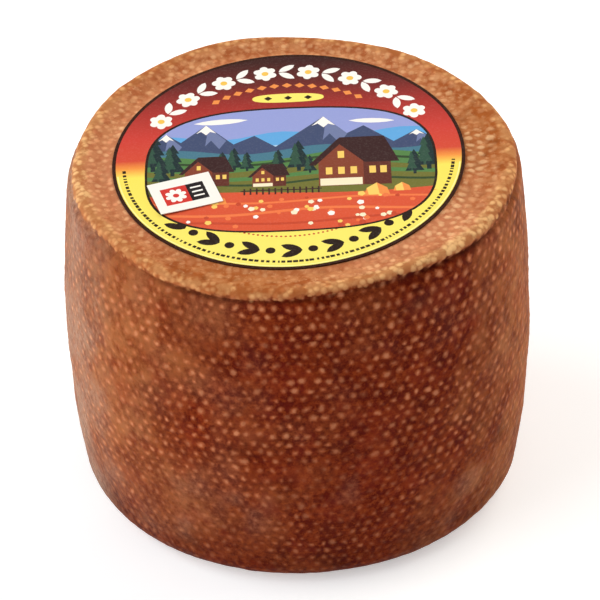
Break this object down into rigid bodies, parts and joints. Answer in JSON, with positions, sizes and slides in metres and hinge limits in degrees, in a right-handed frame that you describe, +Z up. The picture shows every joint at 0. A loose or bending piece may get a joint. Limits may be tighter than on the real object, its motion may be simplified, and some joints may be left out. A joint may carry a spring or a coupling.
{
  "type": "hard cheese wheel with a round paper label",
  "caption": "Small drum-shaped washed-rind hard cheese with a dotted crust, a raised rim and a round printed paper label with a small seal on top.",
  "frame": {"origin": "centre of the flat foot that the wheel stands on", "axes": "+Z is up through the label, -Y is the wheel's front as the picture shows it, +X is to the right"},
  "size_m": [0.1122, 0.108, 0.0907],
  "materials": {
    "rind": "washed rind, dotted by the cloth it aged in, matt to slightly greasy",
    "printed_paper": "thin label paper with a slight gloss, printed in fields of dark red, red, yellow and a small landscape",
    "seal_paper": "thin white label paper with a slight gloss and a red and black block"
  },
  "bodies": {
    "root": {"cheese_wheel": "rind", "paper_label": "printed_paper", "paper_seal": "seal_paper"}
  },
  "joints": []
}
